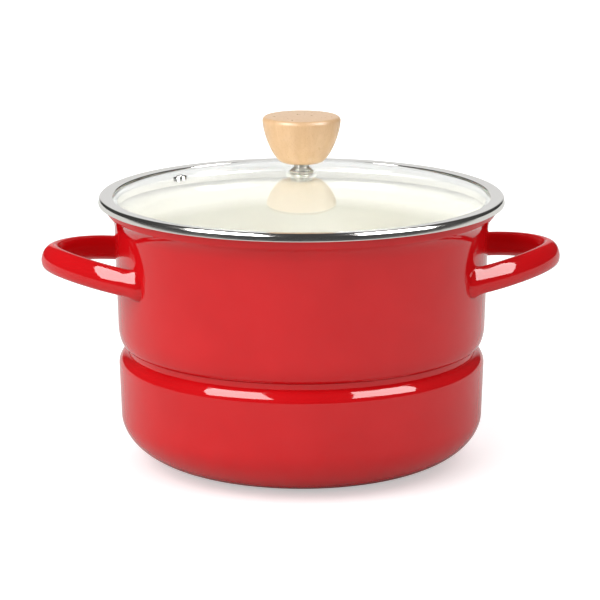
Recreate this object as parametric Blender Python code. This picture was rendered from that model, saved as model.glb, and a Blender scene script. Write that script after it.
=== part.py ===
"""Steamer pot: an enamelled pot whose pressed waist carries a perforated tray, with a domed glass lid.

The pot stands on its base at z = 0, centred on the Z axis, with a handle on +X and one on -X. The pot
body is one drawn steel sheet. The inner side of its waist is the ledge that the tray rests on. The lid
is a glass dome in a folded steel ring, with a turned wooden knob on top and a vent eyelet at its side.
"""

import math

import bmesh
import bpy
from mathutils import Vector

MM = 0.001

# Gaps left between pieces that touch
SEAT_GAP = 0.3 * MM
SNUG_GAP = 0.1 * MM

# Facets round the large and the small turned pieces
ROUND_FACETS = 44
SMALL_FACETS = 20

# Pot body, all radii on its outer side
WALL = 1.4 * MM
BODY_RADIUS = 113.6 * MM
UPPER_HEIGHT = 88.2 * MM
WAIST_HEIGHT = 73.6 * MM
UPPER_TAPER = 1.6 * MM
LIP_REACH = 4.6 * MM
LIP_DEPTH = 6.0 * MM
UPPER_TURN_WIDTH = 4.7 * MM
UPPER_TURN_HEIGHT = 13.3 * MM
WAIST_DEPTH = 6.2 * MM
CREASE_RADIUS = 0.35 * MM
NECK_HEIGHT = 3.3 * MM
SHOULDER_TILT = 68
LOWER_STEP = 0.3 * MM
LOWER_TAPER = 1.1 * MM
BASE_CORNER_WIDTH = 46.5 * MM
BASE_CORNER_HEIGHT = 30.3 * MM
BASE_DISH_RADIUS = 52.0 * MM
BASE_DISH_SLOPE = 3.0 * MM
BASE_DISH_DEPTH = 1.0 * MM

# Handles: a bow with an oval section, highest at its tip
HANDLE_REACH = 40.9 * MM
HANDLE_ROOT_SPREAD = 51.5 * MM
HANDLE_BOW_POWER = 1.55
HANDLE_HEIGHT = 121.6 * MM
HANDLE_RISE = 7.1 * MM
HANDLE_RISE_POWER = 1.35
HANDLE_THICKNESS = 10.2 * MM
HANDLE_DEPTH = 16.2 * MM
HANDLE_LEAN = math.radians(13)
ROOT_FLARE_LENGTH = 13.0 * MM
ROOT_FLARE_SIDE = 0.5
ROOT_FLARE_UP = 0.2
HANDLE_SINK = 8.0 * MM
HANDLE_PATH_STEPS = 22
HANDLE_SECTION_POINTS = 12

# Steamer tray
TRAY_SHEET = 1.0 * MM
TRAY_SINK = 5.0 * MM
TRAY_WELL_SLOPE = 3.0 * MM
TRAY_EDGE_CLEARANCE = 0.3 * MM
TRAY_WELL_CLEARANCE = 1.2 * MM
STEAM_HOLE_RADIUS = 4.5 * MM
STEAM_HOLE_PITCH = 22.0 * MM
STEAM_HOLE_RINGS = 4
STEAM_HOLES_IN_FIRST_RING = 6
STEAM_HOLE_FACETS = 8

# Lid ring, folded from sheet round the edge of the glass
RING_OVERHANG = 5.2 * MM
RING_SHEET = 0.5 * MM
RING_FLANGE_WIDTH = 8.9 * MM
RING_CREST = 1.1 * MM
RING_TOP_BEND = 2.2 * MM
RING_TOP_TILT = 10
RING_CURL_WIDTH = 3.4 * MM
RING_CURL_HEIGHT = 2.5 * MM
SKIRT_BEND = 1.4 * MM
SKIRT_DEPTH = 5.2 * MM
SKIRT_CLEARANCE = 0.8 * MM

# Gasket between the ring and the glass
GASKET_FOOT = 0.3 * MM
GASKET_FOOT_WIDTH = 7.0 * MM
GASKET_EDGE = 1.3 * MM

# Glass
GLASS_THICKNESS = 2.6 * MM
DOME_RISE = 14.8 * MM
GLASS_RIM_WIDTH = 7.3 * MM
GLASS_EDGE_BEVEL = 0.6 * MM
KNOB_HOLE_RADIUS = 4.6 * MM

# Vent eyelet, a rolled steel tube through the glass
VENT_DISTANCE = 76.2 * MM
VENT_AZIMUTH = math.radians(167.7)
VENT_BORE_RADIUS = 1.5 * MM
VENT_TUBE_RADIUS = 2.7 * MM
VENT_FLANGE_RADIUS = 4.6 * MM
VENT_FLANGE_HEIGHT = 1.9 * MM
VENT_FOOT_RADIUS = 3.9 * MM
VENT_FOOT_HEIGHT = 0.9 * MM

# Knob, turned from wood
KNOB_TOP_RADIUS = 24.0 * MM
KNOB_FOOT_RADIUS = 12.0 * MM
KNOB_HEIGHT = 28.3 * MM
KNOB_EDGE_ROUND = 2.5 * MM
KNOB_SIDE_POWER = 1.5
KNOB_FACETS = 24

# Knob fixing: collar, seals, washer, screw and threaded insert
COLLAR_HEIGHT = 5.1 * MM
COLLAR_TOP_RADIUS = 7.2 * MM
COLLAR_WAIST_RADIUS = 4.5 * MM
COLLAR_FOOT_RADIUS = 6.4 * MM
COLLAR_RIM = 0.8 * MM
SEAL_RADIUS = 7.4 * MM
SEAL_THICKNESS = 0.8 * MM
GROMMET_RADIUS = 9.5 * MM
GROMMET_THICKNESS = 1.4 * MM
WASHER_RADIUS = 8.5 * MM
WASHER_THICKNESS = 1.0 * MM
SCREW_RADIUS = 2.5 * MM
SCREW_CLEARANCE = 0.3 * MM
SCREW_HEAD_RADIUS = 5.5 * MM
SCREW_HEAD_HEIGHT = 2.8 * MM
SCREW_SLOT_WIDTH = 1.2 * MM
SCREW_SLOT_DEPTH = 1.2 * MM
INSERT_RADIUS = 4.2 * MM
INSERT_LENGTH = 14.0 * MM
BORE_SPARE_DEPTH = 1.5 * MM

# Places that follow from the sizes above
POT_HEIGHT = WAIST_HEIGHT + UPPER_HEIGHT
MOUTH_RADIUS = BODY_RADIUS + UPPER_TAPER
LIP_RADIUS = MOUTH_RADIUS + LIP_REACH
WAIST_RADIUS = BODY_RADIUS - WAIST_DEPTH
NECK_RADIUS = WAIST_RADIUS + CREASE_RADIUS
LOWER_RADIUS = BODY_RADIUS - LOWER_STEP
FOOT_RADIUS = LOWER_RADIUS - LOWER_TAPER - BASE_CORNER_WIDTH
LEDGE_RADIUS = BODY_RADIUS - UPPER_TURN_WIDTH
LEDGE_TOP = WAIST_HEIGHT + CREASE_RADIUS + WALL
RING_RADIUS = LIP_RADIUS + RING_OVERHANG
RING_BOTTOM = POT_HEIGHT + SEAT_GAP
GLASS_RADIUS = RING_RADIUS - RING_SHEET - GASKET_EDGE - 2 * SNUG_GAP
GLASS_RIM_BOTTOM = RING_BOTTOM + RING_SHEET + GASKET_FOOT + 2 * SNUG_GAP
GLASS_RIM_TOP = GLASS_RIM_BOTTOM + GLASS_THICKNESS
RING_TOP = GLASS_RIM_TOP + SNUG_GAP + RING_SHEET + RING_CREST
DOME_EDGE_RADIUS = GLASS_RADIUS - GLASS_RIM_WIDTH
DOME_SPHERE = (DOME_EDGE_RADIUS**2 + DOME_RISE**2) / (2 * DOME_RISE)
APEX = GLASS_RIM_TOP + DOME_RISE
COLLAR_BOTTOM = APEX + SEAL_THICKNESS + 2 * SNUG_GAP
KNOB_BOTTOM = COLLAR_BOTTOM + COLLAR_HEIGHT + SNUG_GAP
SCREW_HOLE_RADIUS = SCREW_RADIUS + SCREW_CLEARANCE


def dome_height(radius):
    """Height of the glass's upper side at this distance from the axis."""
    return GLASS_RIM_TOP + DOME_RISE - DOME_SPHERE + math.sqrt(DOME_SPHERE**2 - radius**2)


def wall_radius(height):
    """Outer radius of the straight upper wall at this height."""
    low = WAIST_HEIGHT + CREASE_RADIUS + UPPER_TURN_HEIGHT
    high = POT_HEIGHT - LIP_DEPTH
    return BODY_RADIUS + UPPER_TAPER * (height - low) / (high - low)


def arc(centre, width, height, start, end, steps):
    """Points of an ellipse's arc, from one angle to another in degrees, both ends included."""
    points = []
    for step in range(steps + 1):
        angle = math.radians(start + (end - start) * step / steps)
        points.append((centre[0] + width * math.cos(angle), centre[1] + height * math.sin(angle)))
    return points


def offset(path, distance):
    """The path moved to its left by a distance, with mitred corners. An end on the axis stays on it."""
    moved = []
    for index, point in enumerate(path):
        here = Vector(point)
        sides = []
        if index > 0:
            sides.append((here - Vector(path[index - 1])).normalized())
        if index < len(path) - 1:
            sides.append((Vector(path[index + 1]) - here).normalized())
        normals = [Vector((-side.y, side.x)) for side in sides]
        mean = sum(normals, Vector((0.0, 0.0))).normalized()
        place = here + mean * (distance / mean.dot(normals[0]))
        moved.append((0.0 if point[0] == 0.0 else place.x, place.y))
    return moved


def finish(name, colour, roughness, metallic=0.0, transmission=0.0):
    """A Principled material from a colour in linear values."""
    material = bpy.data.materials.new(name)
    material.use_nodes = True
    shader = material.node_tree.nodes["Principled BSDF"]
    shader.inputs["Base Color"].default_value = (*colour, 1.0)
    shader.inputs["Roughness"].default_value = roughness
    shader.inputs["Metallic"].default_value = metallic
    shader.inputs["Transmission Weight"].default_value = transmission
    material.diffuse_color = (*colour, 1.0)
    return material


def place(name, mesh_builder, material):
    """Makes an object from a bmesh, smooth but for its sharp edges."""
    mesh = bpy.data.meshes.new(name)
    mesh_builder.to_mesh(mesh)
    mesh_builder.free()
    mesh.shade_smooth()
    mesh.set_sharp_from_angle(angle=math.radians(35))
    if material:
        mesh.materials.append(material)
    obj = bpy.data.objects.new(name, mesh)
    bpy.context.scene.collection.objects.link(obj)
    return obj


def turned(name, profile, material, facets=ROUND_FACETS, closed=True):
    """A profile of (radius, height) points turned round Z. An open one starts and ends on the axis."""
    shape = bmesh.new()
    points = [shape.verts.new((radius, 0.0, height)) for radius, height in profile]
    edges = [shape.edges.new(pair) for pair in zip(points, points[1:])]
    if closed:
        edges.append(shape.edges.new((points[-1], points[0])))
    bmesh.ops.spin(
        shape,
        geom=points + edges,
        cent=(0.0, 0.0, 0.0),
        axis=(0.0, 0.0, 1.0),
        angle=math.tau,
        steps=facets,
        use_merge=True,
    )
    bmesh.ops.remove_doubles(shape, verts=shape.verts, dist=1e-6)
    bmesh.ops.recalc_face_normals(shape, faces=shape.faces)
    return place(name, shape, material)


def cut(obj, cutter):
    """Takes the cutter's shape out of an object and hides the cutter."""
    cutter.hide_render = True
    cutter.display_type = "WIRE"
    boolean = obj.modifiers.new("cut", "BOOLEAN")
    boolean.operation = "DIFFERENCE"
    boolean.solver = "EXACT"
    boolean.object = cutter


def rods(name, places, radius, length, facets):
    """Upright rods at places on the ground plane, centred on z = 0, in one object."""
    shape = bmesh.new()
    for x, y in places:
        made = bmesh.ops.create_cone(
            shape, cap_ends=True, segments=facets, radius1=radius, radius2=radius, depth=length
        )
        bmesh.ops.translate(shape, verts=made["verts"], vec=(x, y, 0.0))
    return place(name, shape, None)


def upper_wall_path():
    """Outer side of the pot from its waist crease to the underside of its flared lip."""
    lip_reach = LIP_REACH - WALL / 2
    lip_start = POT_HEIGHT - LIP_DEPTH
    turn_centre = (LEDGE_RADIUS, WAIST_HEIGHT + CREASE_RADIUS + UPPER_TURN_HEIGHT)
    path = arc(turn_centre, UPPER_TURN_WIDTH, UPPER_TURN_HEIGHT, -90, 0, 3)
    path += arc((MOUTH_RADIUS + lip_reach, lip_start), lip_reach, LIP_DEPTH - WALL, 180, 90, 3)
    return path


def lower_wall_path():
    """Outer side of the pot from the middle of its base to its waist crease."""
    path = [(0.0, BASE_DISH_DEPTH), (BASE_DISH_RADIUS, BASE_DISH_DEPTH)]
    path.append((BASE_DISH_RADIUS + BASE_DISH_SLOPE, 0.0))
    path += arc((FOOT_RADIUS, BASE_CORNER_HEIGHT), BASE_CORNER_WIDTH, BASE_CORNER_HEIGHT, -90, 0, 6)
    tilt = math.radians(SHOULDER_TILT)
    shoulder = (LOWER_RADIUS - NECK_RADIUS) / (1 - math.cos(tilt))
    neck_bottom = WAIST_HEIGHT - CREASE_RADIUS - NECK_HEIGHT
    shoulder_centre = (LOWER_RADIUS - shoulder, neck_bottom - shoulder * math.sin(tilt))
    path += arc(shoulder_centre, shoulder, shoulder, 0, SHOULDER_TILT, 3)
    path += arc((NECK_RADIUS, WAIST_HEIGHT), CREASE_RADIUS, CREASE_RADIUS, -90, -270, 2)
    return path


def make_pot_body(enamel):
    """One drawn sheet: dished base, waist and flared lip, with a wall of even thickness."""
    outer = lower_wall_path() + upper_wall_path()
    inner = offset(outer, WALL)
    edge_centre = (LIP_RADIUS - WALL / 2, POT_HEIGHT - WALL / 2)
    edge = arc(edge_centre, WALL / 2, WALL / 2, -45, 45, 2)
    return turned("pot_body", outer + edge + inner[::-1], enamel, closed=False)


def handle_path():
    """Plan view of the +X handle's middle line, a bow that leaves the wall square at both roots.

    Each point comes with its share of the way out, from 0 at the roots to 1 at the tip.
    """
    wall = wall_radius(HANDLE_HEIGHT)
    root = math.sqrt(wall**2 - HANDLE_ROOT_SPREAD**2)
    bow_depth = wall + HANDLE_REACH - root
    bow = []
    for step in range(HANDLE_PATH_STEPS + 1):
        angle = math.pi * (0.5 - step / HANDLE_PATH_STEPS)
        outward = abs(math.cos(angle)) ** (2 / HANDLE_BOW_POWER)
        sideways = math.copysign(abs(math.sin(angle)) ** (2 / HANDLE_BOW_POWER), angle)
        bow.append((Vector((root + bow_depth * outward, HANDLE_ROOT_SPREAD * sideways)), outward))
    sunk = Vector((HANDLE_SINK, 0.0))
    return [(bow[0][0] - sunk, 0.0)] + bow + [(bow[-1][0] - sunk, 0.0)]


def handle_loop(half_across, half_up):
    """Points round the handle's leaning oval section, as distances outward and up from its middle."""
    loop = []
    for index in range(HANDLE_SECTION_POINTS):
        angle = math.tau * index / HANDLE_SECTION_POINTS
        across = half_across * math.cos(angle)
        up = half_up * math.sin(angle)
        loop.append((
            across * math.cos(HANDLE_LEAN) - up * math.sin(HANDLE_LEAN),
            across * math.sin(HANDLE_LEAN) + up * math.cos(HANDLE_LEAN),
        ))
    return loop


def make_handle(name, side, enamel):
    """A bow swept along its path, flared where it is welded on, and cut to the curve of the wall."""
    path = handle_path()
    travelled = [0.0]
    for (start, _), (end, _) in zip(path, path[1:]):
        travelled.append(travelled[-1] + (end - start).length)
    shape = bmesh.new()
    loops = []
    for index, (point, way_out) in enumerate(path):
        before = path[max(index - 1, 0)][0]
        after = path[min(index + 1, len(path) - 1)][0]
        along = (after - before).normalized()
        from_root = min(travelled[index], travelled[-1] - travelled[index]) - HANDLE_SINK
        flare = max(0.0, 1.0 - max(0.0, from_root) / ROOT_FLARE_LENGTH) ** 2
        half_across = HANDLE_THICKNESS / 2 * (1 + ROOT_FLARE_SIDE * flare)
        half_up = HANDLE_DEPTH / 2 * (1 + ROOT_FLARE_UP * flare)
        middle = HANDLE_HEIGHT + HANDLE_RISE * (1.0 - (1.0 - way_out) ** HANDLE_RISE_POWER)
        loop = []
        for outward, up in handle_loop(half_across, half_up):
            spot = (side * (point.x - along.y * outward), point.y + along.x * outward, middle + up)
            loop.append(shape.verts.new(spot))
        loops.append(loop)
    for first, second in zip(loops, loops[1:]):
        for index in range(HANDLE_SECTION_POINTS):
            after = (index + 1) % HANDLE_SECTION_POINTS
            shape.faces.new((first[index], first[after], second[after], second[index]))
    shape.faces.new(loops[0])
    shape.faces.new(loops[-1])
    bmesh.ops.recalc_face_normals(shape, faces=shape.faces)
    return place(name, shape, enamel)


def make_wall_cutter():
    """The space inside the upper wall and the seat gap round it."""
    wall = offset(upper_wall_path(), -SEAT_GAP)
    profile = [(0.0, wall[0][1])] + wall + [(0.0, wall[-1][1])]
    return turned("wall_cutter", profile, None, closed=False)


def make_tray(steel):
    """A sheet disc with a flat edge on the ledge, a sunk middle and rings of steam holes."""
    edge_radius = LEDGE_RADIUS - TRAY_EDGE_CLEARANCE
    well_radius = WAIST_RADIUS - WALL - TRAY_WELL_CLEARANCE
    flange = LEDGE_TOP + SEAT_GAP
    plate = flange - TRAY_SINK
    under = [
        (0.0, plate),
        (well_radius - TRAY_WELL_SLOPE, plate),
        (well_radius, plate + TRAY_WELL_SLOPE),
        (well_radius, flange),
        (edge_radius, flange),
    ]
    tray = turned("steamer_tray", under + offset(under, TRAY_SHEET)[::-1], steel, closed=False)
    places = [(0.0, 0.0)]
    for ring in range(1, STEAM_HOLE_RINGS + 1):
        count = ring * STEAM_HOLES_IN_FIRST_RING
        for index in range(count):
            angle = math.tau * index / count
            distance = ring * STEAM_HOLE_PITCH
            places.append((distance * math.cos(angle), distance * math.sin(angle)))
    cutter = rods("steam_hole_cutter", places, STEAM_HOLE_RADIUS, 4 * TRAY_SHEET, STEAM_HOLE_FACETS)
    cutter.location.z = plate + TRAY_SHEET / 2
    cut(tray, cutter)
    return tray


def ring_curl():
    """Outer side of the ring's curled band, from its seat on the lip to its widest line."""
    centre = (RING_RADIUS - RING_CURL_WIDTH, RING_BOTTOM + RING_CURL_HEIGHT)
    return arc(centre, RING_CURL_WIDTH, RING_CURL_HEIGHT, -90, 0, 3)


def make_lid_ring(steel):
    """Sheet folded round the glass edge: a skirt in the mouth, a seat on the lip, a curl and a flange."""
    skirt = MOUTH_RADIUS - WALL - SKIRT_CLEARANCE
    path = [(skirt, RING_BOTTOM - SKIRT_DEPTH)]
    path += arc((skirt + SKIRT_BEND, RING_BOTTOM - SKIRT_BEND), SKIRT_BEND, SKIRT_BEND, 180, 90, 2)
    path += ring_curl()
    bend_centre = (RING_RADIUS - RING_TOP_BEND, RING_TOP - RING_TOP_BEND)
    path += arc(bend_centre, RING_TOP_BEND, RING_TOP_BEND, 0, 90 + RING_TOP_TILT, 3)
    path.append((RING_RADIUS - RING_FLANGE_WIDTH, RING_TOP - RING_CREST))
    return turned("lid_ring", path + offset(path, RING_SHEET)[::-1], steel)


def make_lid_gasket(silicone):
    """An L-shaped strip under and outside the edge of the glass, fitted to the ring's curl."""
    lip = GLASS_RADIUS - GASKET_FOOT_WIDTH
    top = GLASS_RIM_TOP - GLASS_EDGE_BEVEL
    foot_top = GLASS_RIM_BOTTOM - SNUG_GAP
    edge = GLASS_RADIUS + SNUG_GAP
    ring_side = [(lip, RING_BOTTOM)] + ring_curl() + [(RING_RADIUS, top)]
    glass_side = [
        (edge, top),
        (edge, foot_top + GLASS_EDGE_BEVEL),
        (edge - GLASS_EDGE_BEVEL, foot_top),
        (lip, foot_top),
    ]
    return turned("lid_gasket", offset(ring_side, RING_SHEET + SNUG_GAP) + glass_side, silicone)


def make_lid_glass(glass):
    """A tempered dome with a flat ground rim and holes for the knob and the vent."""
    dome = []
    steps = 6
    for step in range(steps + 1):
        radius = KNOB_HOLE_RADIUS + (DOME_EDGE_RADIUS - KNOB_HOLE_RADIUS) * step / steps
        dome.append((radius, dome_height(radius)))
    under = [(radius, height - GLASS_THICKNESS) for radius, height in dome]
    bevel = GLASS_EDGE_BEVEL
    rim = [
        (GLASS_RADIUS - bevel, GLASS_RIM_TOP),
        (GLASS_RADIUS, GLASS_RIM_TOP - bevel),
        (GLASS_RADIUS, GLASS_RIM_BOTTOM + bevel),
        (GLASS_RADIUS - bevel, GLASS_RIM_BOTTOM),
    ]
    lid = turned("lid_glass", dome + rim + under[::-1], glass)
    hole_radius = VENT_TUBE_RADIUS + SEAT_GAP
    hole = rods("vent_hole_cutter", [(0.0, 0.0)], hole_radius, 4 * GLASS_THICKNESS, SMALL_FACETS)
    set_on_dome(hole)
    cut(lid, hole)
    return lid


def set_on_dome(obj):
    """Stands an object on the glass at the vent's place, square to the dome."""
    obj.location = (
        VENT_DISTANCE * math.cos(VENT_AZIMUTH),
        VENT_DISTANCE * math.sin(VENT_AZIMUTH),
        dome_height(VENT_DISTANCE),
    )
    obj.rotation_euler = (0.0, math.asin(VENT_DISTANCE / DOME_SPHERE), VENT_AZIMUTH)


def make_vent(steel):
    """A rolled eyelet: a domed flange on the glass, a tube through it and a small foot below."""
    below = -GLASS_THICKNESS - SNUG_GAP
    crown_radius = (VENT_BORE_RADIUS + VENT_FLANGE_RADIUS) / 2
    crown = arc(
        (crown_radius, SNUG_GAP), VENT_FLANGE_RADIUS - crown_radius, VENT_FLANGE_HEIGHT, 0, 180, 6
    )
    profile = [(VENT_TUBE_RADIUS, below), (VENT_TUBE_RADIUS, SNUG_GAP)] + crown + [
        (VENT_BORE_RADIUS, below - VENT_FOOT_HEIGHT),
        (VENT_FOOT_RADIUS - VENT_FOOT_HEIGHT / 2, below - VENT_FOOT_HEIGHT),
        (VENT_FOOT_RADIUS, below - VENT_FOOT_HEIGHT / 2),
        (VENT_FOOT_RADIUS, below),
    ]
    vent = turned("vent_eyelet", profile, steel, facets=SMALL_FACETS)
    set_on_dome(vent)
    return vent


def make_knob(wood):
    """A turned bowl-shaped knob with a flat top and a blind bore for its insert."""
    side_height = KNOB_HEIGHT - KNOB_EDGE_ROUND
    side = []
    steps = 7
    for step in range(steps + 1):
        down = 1.0 - step / steps
        swell = (1.0 - down**KNOB_SIDE_POWER) ** (1 / KNOB_SIDE_POWER)
        radius = KNOB_FOOT_RADIUS + (KNOB_TOP_RADIUS - KNOB_FOOT_RADIUS) * swell
        side.append((radius, KNOB_BOTTOM + side_height * (1.0 - down)))
    edge_centre = (KNOB_TOP_RADIUS - KNOB_EDGE_ROUND, KNOB_BOTTOM + side_height)
    edge = arc(edge_centre, KNOB_EDGE_ROUND, KNOB_EDGE_ROUND, 0, 90, 3)
    bore_radius = INSERT_RADIUS + SEAT_GAP
    bore_top = KNOB_BOTTOM + INSERT_LENGTH + BORE_SPARE_DEPTH
    profile = [(0.0, bore_top), (bore_radius, bore_top), (bore_radius, KNOB_BOTTOM)]
    profile += side + edge[1:] + [(0.0, KNOB_BOTTOM + KNOB_HEIGHT)]
    return turned("knob", profile, wood, facets=KNOB_FACETS, closed=False)


def tube(name, inner, outer, bottom, top, material):
    """A plain ring with square edges."""
    profile = [(inner, bottom), (outer, bottom), (outer, top), (inner, top)]
    return turned(name, profile, material, facets=SMALL_FACETS)


def make_knob_fixing(steel, brass, silicone):
    """The stack that clamps the knob to the glass: insert, collar, seal, grommet, washer and screw."""
    tube("knob_insert", SCREW_HOLE_RADIUS, INSERT_RADIUS, KNOB_BOTTOM, KNOB_BOTTOM + INSERT_LENGTH, brass)
    collar_top = COLLAR_BOTTOM + COLLAR_HEIGHT
    collar = [
        (SCREW_HOLE_RADIUS, COLLAR_BOTTOM),
        (COLLAR_FOOT_RADIUS, COLLAR_BOTTOM),
        (COLLAR_FOOT_RADIUS, COLLAR_BOTTOM + COLLAR_RIM),
        (COLLAR_WAIST_RADIUS, COLLAR_BOTTOM + COLLAR_HEIGHT / 2),
        (COLLAR_TOP_RADIUS, collar_top - COLLAR_RIM),
        (COLLAR_TOP_RADIUS, collar_top),
        (SCREW_HOLE_RADIUS, collar_top),
    ]
    turned("knob_collar", collar, steel, facets=SMALL_FACETS)
    seal_bottom = APEX + SNUG_GAP
    seal_top = seal_bottom + SEAL_THICKNESS
    tube("knob_seal_top", SCREW_HOLE_RADIUS, SEAL_RADIUS, seal_bottom, seal_top, silicone)
    under_glass = dome_height(GROMMET_RADIUS) - GLASS_THICKNESS - SNUG_GAP
    grommet_bottom = under_glass - GROMMET_THICKNESS
    sleeve_radius = KNOB_HOLE_RADIUS - SEAT_GAP
    grommet = [
        (SCREW_HOLE_RADIUS, grommet_bottom),
        (GROMMET_RADIUS, grommet_bottom),
        (GROMMET_RADIUS, under_glass),
        (sleeve_radius, under_glass),
        (sleeve_radius, APEX - SNUG_GAP),
        (SCREW_HOLE_RADIUS, APEX - SNUG_GAP),
    ]
    turned("knob_seal_bottom", grommet, silicone, facets=SMALL_FACETS)
    washer_top = grommet_bottom - SNUG_GAP
    washer_bottom = washer_top - WASHER_THICKNESS
    tube("knob_washer", SCREW_HOLE_RADIUS, WASHER_RADIUS, washer_bottom, washer_top, steel)
    head_top = washer_bottom - SNUG_GAP
    head_bottom = head_top - SCREW_HEAD_HEIGHT
    head = arc((0.0, head_top), SCREW_HEAD_RADIUS, SCREW_HEAD_HEIGHT, -90, 0, 4)
    shank_top = KNOB_BOTTOM + INSERT_LENGTH
    shank = [(SCREW_RADIUS, head_top), (SCREW_RADIUS, shank_top), (0.0, shank_top)]
    profile = [(0.0, head_bottom)] + head[1:] + shank
    screw = turned("knob_screw", profile, steel, SMALL_FACETS, closed=False)
    slot = bmesh.new()
    bmesh.ops.create_cube(slot, size=1.0)
    slot_size = (3 * SCREW_HEAD_RADIUS, SCREW_SLOT_WIDTH, 2 * SCREW_SLOT_DEPTH)
    bmesh.ops.scale(slot, verts=slot.verts, vec=slot_size)
    slot_cutter = place("screw_slot_cutter", slot, None)
    slot_cutter.location.z = head_bottom
    cut(screw, slot_cutter)


def clear_scene():
    """Removes whatever the scene holds."""
    for obj in list(bpy.data.objects):
        bpy.data.objects.remove(obj)


def main():
    """Builds the pot, its tray and its lid."""
    clear_scene()
    red_enamel = finish("red_enamel", (0.55, 0.012, 0.015), 0.12)
    steel = finish("polished_steel", (0.62, 0.62, 0.60), 0.15, metallic=1.0)
    tray_steel = finish("satin_steel", (0.50, 0.50, 0.49), 0.35, metallic=1.0)
    glass = finish("tempered_glass", (0.95, 0.98, 0.96), 0.02, transmission=1.0)
    silicone = finish("clear_silicone", (0.75, 0.74, 0.70), 0.45)
    beech = finish("beech", (0.75, 0.50, 0.28), 0.5)
    brass = finish("brass", (0.72, 0.53, 0.25), 0.3, metallic=1.0)
    make_pot_body(red_enamel)
    wall_cutter = make_wall_cutter()
    for name, side in (("handle_left", -1), ("handle_right", 1)):
        cut(make_handle(name, side, red_enamel), wall_cutter)
    make_tray(tray_steel)
    make_lid_ring(steel)
    make_lid_gasket(silicone)
    make_lid_glass(glass)
    make_vent(steel)
    make_knob(beech)
    make_knob_fixing(steel, brass, silicone)


main()
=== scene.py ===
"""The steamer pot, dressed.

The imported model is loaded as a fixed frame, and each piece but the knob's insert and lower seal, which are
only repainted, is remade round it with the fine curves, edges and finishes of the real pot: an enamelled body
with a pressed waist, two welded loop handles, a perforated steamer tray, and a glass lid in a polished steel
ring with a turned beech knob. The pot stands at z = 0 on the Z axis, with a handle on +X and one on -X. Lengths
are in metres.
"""

import logging
import math
from collections.abc import Callable, Sequence
from dataclasses import dataclass
from enum import Enum

import bpy
from mathutils import Matrix, Vector


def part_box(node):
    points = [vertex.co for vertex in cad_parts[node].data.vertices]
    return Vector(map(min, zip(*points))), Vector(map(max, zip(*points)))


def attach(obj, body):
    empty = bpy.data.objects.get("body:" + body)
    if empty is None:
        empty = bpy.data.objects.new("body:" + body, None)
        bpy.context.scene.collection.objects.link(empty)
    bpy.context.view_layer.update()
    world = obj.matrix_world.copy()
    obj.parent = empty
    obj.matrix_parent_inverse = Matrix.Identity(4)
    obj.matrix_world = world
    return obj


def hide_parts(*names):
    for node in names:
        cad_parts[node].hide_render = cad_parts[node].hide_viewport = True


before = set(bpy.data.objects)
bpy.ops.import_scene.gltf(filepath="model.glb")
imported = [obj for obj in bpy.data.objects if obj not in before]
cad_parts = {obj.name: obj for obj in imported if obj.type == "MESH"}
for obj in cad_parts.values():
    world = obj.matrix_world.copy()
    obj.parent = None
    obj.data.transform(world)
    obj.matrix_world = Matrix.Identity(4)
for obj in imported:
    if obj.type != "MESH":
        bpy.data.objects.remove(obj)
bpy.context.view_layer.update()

LOG = logging.getLogger("steamer_pot")

MM = 0.001
ROUND_STEPS = 192
SMALL_STEPS = 64
WELD_DISTANCE = 0.002 * MM
SHARP_ANGLE = 32.0
# Blender's noise stays mostly between these two values.
NOISE_LOW, NOISE_HIGH = 0.3, 0.7
WHITE = (1.0, 1.0, 1.0, 1.0)

Point = tuple[float, float]
Pair = tuple[float, float]
Triple = tuple[float, float, float]
Tree = bpy.types.NodeTree
Socket = bpy.types.NodeSocket
Piece = bpy.types.Object


class Body(Enum):
    """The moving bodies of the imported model."""

    POT = "pot"
    LID = "lid"
    TRAY = "tray"


class Slot(Enum):
    """The record's material slots."""

    ENAMEL = "red_enamel"
    SATIN = "satin_steel"
    POLISHED = "polished_steel"
    GLASS = "tempered_glass"
    SILICONE = "silicone"
    BEECH = "beech"
    BRASS = "brass"


class Side(Enum):
    """The two sides of the pot that carry a handle."""

    LEFT = -1
    RIGHT = 1


# Colour and shader nodes


def linear(code: str) -> tuple[float, float, float, float]:
    """Turn an sRGB hex colour into the linear one that shaders take.

    Args:
        code: six hex digits, with or without a leading #.

    Returns:
        Red, green, blue and an alpha of 1.
    """
    digits = code.lstrip("#")
    shares = [int(digits[start:start + 2], 16) / 255 for start in (0, 2, 4)]
    red, green, blue = (s / 12.92 if s <= 0.04045 else ((s + 0.055) / 1.055) ** 2.4 for s in shares)
    return red, green, blue, 1.0


def add(
    tree: Tree, kind: str, inputs: dict[str | int, object] | None = None, **settings: object
) -> bpy.types.Node:
    """Add one shader node with its settings, values and links.

    Args:
        tree: the node tree that gets the node.
        kind: the node's type without its ShaderNode prefix.
        inputs: a value, or the socket to link from, for each input by name or number.
        **settings: properties of the node.

    Returns:
        The new node.
    """
    made = tree.nodes.new(f"ShaderNode{kind}")
    for name, value in settings.items():
        setattr(made, name, value)
    for socket, value in (inputs or {}).items():
        if isinstance(value, Socket):
            tree.links.new(value, made.inputs[socket])
        else:
            made.inputs[socket].default_value = value
    return made


@dataclass(frozen=True)
class Finish:
    """A finish with a name, whose material is made once and then shared."""

    name: str

    def material(self) -> bpy.types.Material:
        """Return this finish's material, made on first use."""
        found = bpy.data.materials.get(self.name)
        if found:
            return found
        made = bpy.data.materials.new(self.name)
        made.use_nodes = True
        tree = made.node_tree
        tree.nodes.clear()
        place = add(tree, "TexCoord").outputs["Object"]
        add(tree, "OutputMaterial", {"Surface": self.shade(tree, place)})
        return made

    def shade(self, tree: Tree, place: Socket) -> Socket:
        """Build the shader.

        Args:
            tree: the material's node tree.
            place: the point's place in the object, in metres.

        Returns:
            The socket that carries the finished surface.
        """
        raise NotImplementedError


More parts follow.
